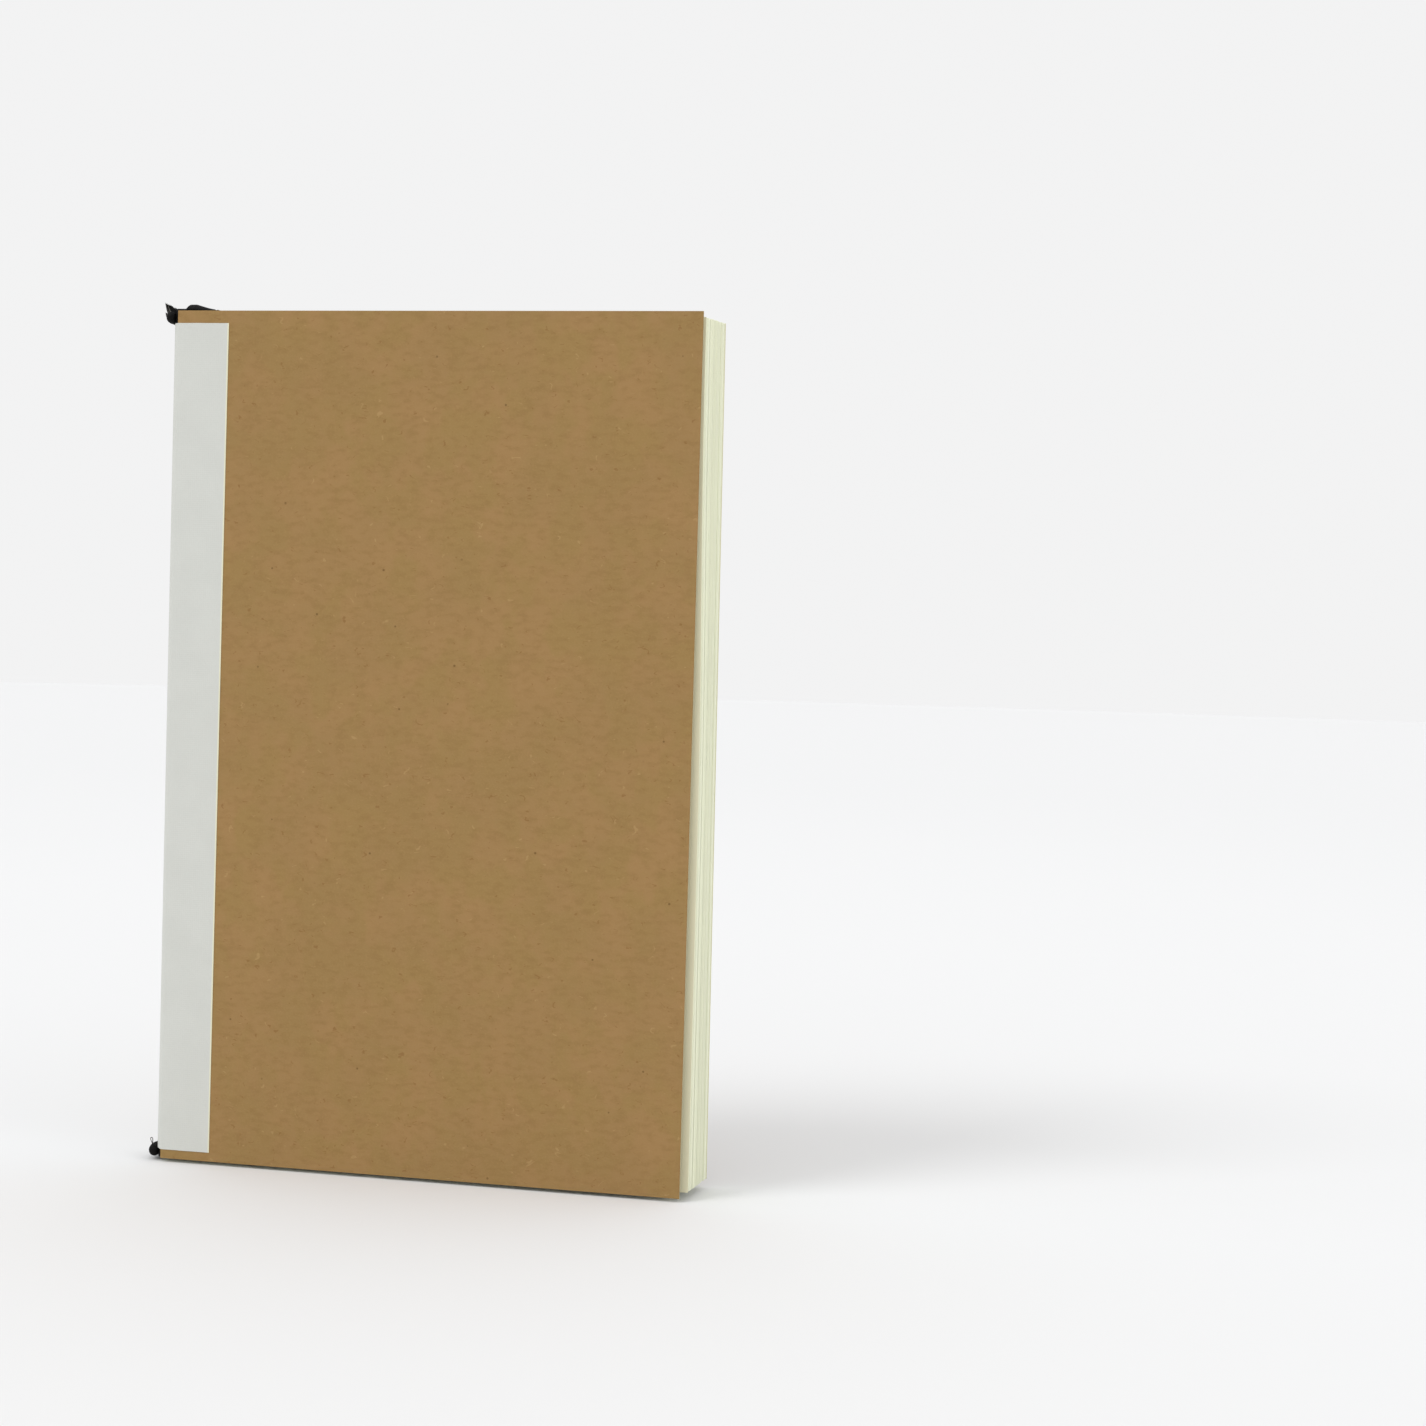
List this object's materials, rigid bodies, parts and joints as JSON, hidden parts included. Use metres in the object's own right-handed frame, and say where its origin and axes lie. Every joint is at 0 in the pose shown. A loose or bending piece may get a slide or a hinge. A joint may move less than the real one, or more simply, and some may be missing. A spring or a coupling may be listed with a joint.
{
  "type": "pocket notebook",
  "caption": "Pocket notebook with kraft card covers, a white tape round the sewn spine, cream leaves and black thread-wrapped bands at the head and tail.",
  "frame": {"origin": "middle of the bottom of the bounding box: the tail of the leaves, at mid-thickness", "axes": "+Z from tail to head, +X from spine to fore-edge, +Y from the front cover to the back cover"},
  "size_m": [0.0934, 0.0094, 0.1413],
  "materials": {
    "kraft_card": "uncoated",
    "spine_tape": "matte",
    "leaves": "uncoated",
    "endpaper": "uncoated",
    "lining_cloth": "matte",
    "sewing_thread": "matte",
    "band_thread": "satin"
  },
  "bodies": {
    "rear_block": {"section_06": "leaves", "section_07": "leaves", "section_08": "leaves", "section_09": "leaves", "section_10": "leaves", "spine_tape_rear": "spine_tape", "spine_lining_rear": "lining_cloth", "sewing_thread_rear": "sewing_thread", "head_band_rear": "band_thread", "tail_band_rear": "band_thread"},
    "front_block": {"section_01": "leaves", "section_02": "leaves", "section_03": "leaves", "section_04": "leaves", "section_05": "leaves", "spine_tape_front": "spine_tape", "spine_lining_front": "lining_cloth", "sewing_thread_front": "sewing_thread", "head_band_front": "band_thread", "tail_band_front": "band_thread"},
    "front_cover": {"front_board": "kraft_card", "front_tape_flap": "spine_tape", "front_pastedown": "endpaper"},
    "back_cover": {"back_board": "kraft_card", "back_tape_flap": "spine_tape", "back_pastedown": "endpaper"},
    "front_flyleaf": {"front_flyleaf": "endpaper"},
    "back_flyleaf": {"back_flyleaf": "endpaper"}
  },
  "joints": [
    {"name": "middle_opening", "type": "hinge", "parent": "rear_block", "child": "front_block", "pos_m": [-0.04539, 0, 0.07], "axis": [0, 0, -1], "range_deg": [0, 90]},
    {"name": "front_cover_hinge", "type": "hinge", "parent": "front_block", "child": "front_cover", "pos_m": [-0.04344, -0.00475, 0.07], "axis": [0, 0, -1], "range_deg": [0, 180]},
    {"name": "front_flyleaf_turn", "type": "hinge", "parent": "front_block", "child": "front_flyleaf", "pos_m": [-0.04313, -0.00415, 0.07], "axis": [0, 0, -1], "range_deg": [0, 90]},
    {"name": "back_cover_hinge", "type": "hinge", "parent": "rear_block", "child": "back_cover", "pos_m": [-0.04344, 0.00475, 0.07], "axis": [0, 0, 1], "range_deg": [0, 90]},
    {"name": "back_flyleaf_turn", "type": "hinge", "parent": "rear_block", "child": "back_flyleaf", "pos_m": [-0.04313, 0.00415, 0.07], "axis": [0, 0, 1], "range_deg": [0, 45]}
  ],
  "couplings": [
    {"joint": "front_flyleaf_turn", "follows": "front_cover_hinge", "ratio": 0.5},
    {"joint": "back_flyleaf_turn", "follows": "back_cover_hinge", "ratio": 0.5}
  ]
}
